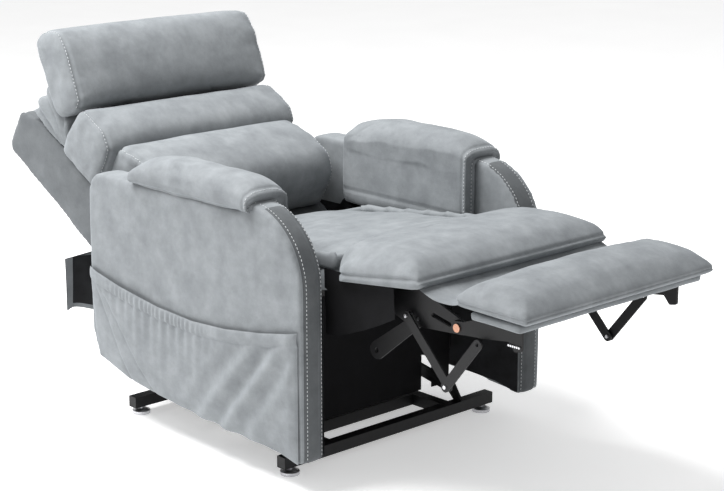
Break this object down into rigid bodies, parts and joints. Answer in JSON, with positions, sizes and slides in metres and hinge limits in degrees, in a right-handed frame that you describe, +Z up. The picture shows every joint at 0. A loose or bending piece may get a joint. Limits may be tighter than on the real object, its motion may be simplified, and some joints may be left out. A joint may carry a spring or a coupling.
{
  "type": "lift recliner chair",
  "caption": "Lift recliner chair with padded saddle arms, three-part back, folding two-part leg rest and tilting lift base.",
  "frame": {"origin": "middle of the footprint on the floor, with the chair reclined and its leg rest out", "axes": "+X towards the sitter's left, the chair faces -Y, +Z up"},
  "size_m": [0.792, 1.8036, 0.8944],
  "materials": {
    "suede": "matte",
    "lining": "matte",
    "wrapped_board": "matte",
    "black_steel": "satin",
    "bright_steel": "satin",
    "copper": "satin",
    "black_plastic": "satin",
    "wood": "matte"
  },
  "bodies": {
    "base": {"base_frame": "black_steel", "levelling_feet": "bright_steel", "lift_lugs": "black_steel", "lift_hinge_pins": "bright_steel", "lift_motor": "black_plastic"},
    "lift_rod_body": {"lift_rod": "bright_steel"},
    "lift_linkage": {"lift_arms": "black_steel"},
    "chassis": {"lift_pivot_bolts": "bright_steel", "side_plates": "black_steel", "cross_tubes": "black_steel", "lift_brackets": "black_steel", "seat_frame": "black_steel", "seat_front_rail": "wood", "seat_springs": "bright_steel", "seat_cushion": "suede", "left_arm": "suede", "right_arm": "suede", "left_arm_pad": "suede", "right_arm_pad": "suede", "side_pocket": "suede", "arm_linings": "lining", "arm_bolts": "bright_steel", "leg_motor": "black_plastic", "back_motor": "black_plastic", "power_box": "black_plastic", "leg_hinge_lugs": "black_steel", "leg_hinge_pins": "bright_steel", "back_hinge_pins": "bright_steel"},
    "leg_rod_body": {"leg_rod": "bright_steel"},
    "back_rod_body": {"back_rod": "bright_steel"},
    "back": {"back_shell": "suede", "back_frame": "wood", "back_springs": "bright_steel", "back_brackets": "black_steel", "lumbar_cushion": "suede", "mid_cushion": "suede", "head_hinge": "black_steel"},
    "headrest": {"head_board": "wood", "head_cushion": "suede"},
    "skirt": {"rear_skirt": "suede"},
    "leg_upper": {"leg_cushion": "suede", "leg_board": "wrapped_board", "leg_rails": "black_steel", "foot_hinge_pins": "copper", "link_bolts": "bright_steel"},
    "drive_link": {"drive_links": "black_steel"},
    "v_rear": {"v_rear_links": "black_steel", "v_pins": "bright_steel"},
    "v_front": {"v_front_links": "black_steel"},
    "foot": {"foot_cushion": "suede", "foot_board": "wrapped_board", "foot_brackets": "black_steel", "foot_springs": "bright_steel"}
  },
  "joints": [
    {"name": "lift", "type": "hinge", "parent": "base", "child": "lift_linkage", "pos_m": [0, -0.18984, 0.082], "axis": [1, 0, 0], "range_deg": [0, 50]},
    {"name": "chassis_tilt", "type": "hinge", "parent": "lift_linkage", "child": "chassis", "pos_m": [0, 0.18016, 0.152], "axis": [1, 0, 0], "range_deg": [-25.5, 0.5]},
    {"name": "lift_rod_slide", "type": "slide", "parent": "base", "child": "lift_rod_body", "axis": [0, -1, 0], "range_m": [-0.001, 0.141]},
    {"name": "back_recline", "type": "hinge", "parent": "chassis", "child": "back", "pos_m": [0, 0.23516, 0.425], "axis": [1, 0, 0], "range_deg": [0, 50]},
    {"name": "back_rod_slide", "type": "slide", "parent": "chassis", "child": "back_rod_body", "axis": [0, 1, 0], "range_m": [-0.001, 0.101]},
    {"name": "skirt_hang", "type": "hinge", "parent": "back", "child": "skirt", "pos_m": [0, 0.60238, 0.39662], "axis": [1, 0, 0], "range_deg": [-50.5, 0.5]},
    {"name": "headrest_tilt", "type": "hinge", "parent": "back", "child": "headrest", "pos_m": [0, 0.63235, 0.67751], "axis": [1, 0, 0], "range_deg": [-30, 0]},
    {"name": "leg_fold", "type": "hinge", "parent": "chassis", "child": "leg_upper", "pos_m": [0, -0.31484, 0.46], "axis": [1, 0, 0], "range_deg": [0, 84]},
    {"name": "foot_fold", "type": "hinge", "parent": "leg_upper", "child": "foot", "pos_m": [0, -0.66984, 0.427], "axis": [1, 0, 0], "range_deg": [-0.5, 172.7]},
    {"name": "drive_link_turn", "type": "hinge", "parent": "leg_upper", "child": "drive_link", "pos_m": [0, -0.54884, 0.418], "axis": [1, 0, 0], "range_deg": [-0.5, 37.5]},
    {"name": "v_rear_turn", "type": "hinge", "parent": "leg_upper", "child": "v_rear", "pos_m": [0, -0.52984, 0.424], "axis": [1, 0, 0], "range_deg": [-42.5, 0.5]},
    {"name": "v_front_turn", "type": "hinge", "parent": "v_rear", "child": "v_front", "pos_m": [0, -0.65184, 0.3], "axis": [1, 0, 0], "range_deg": [-83.5, 0.5]},
    {"name": "leg_rod_slide", "type": "slide", "parent": "chassis", "child": "leg_rod_body", "axis": [0, 1, 0], "range_m": [-0.001, 0.101]}
  ],
  "couplings": [
    {"joint": "chassis_tilt", "follows": "lift", "ratio": -0.5},
    {"joint": "lift_rod_slide", "follows": "lift", "m_per_rad": 0.16043},
    {"joint": "back_rod_slide", "follows": "back_recline", "m_per_rad": 0.11459},
    {"joint": "skirt_hang", "follows": "back_recline", "ratio": -1},
    {"joint": "foot_fold", "follows": "leg_fold", "ratio": 2.05},
    {"joint": "drive_link_turn", "follows": "leg_fold", "ratio": 0.44048},
    {"joint": "v_rear_turn", "follows": "leg_fold", "ratio": -0.5},
    {"joint": "v_front_turn", "follows": "leg_fold", "ratio": -0.98809},
    {"joint": "leg_rod_slide", "follows": "leg_fold", "m_per_rad": 0.068209}
  ]
}
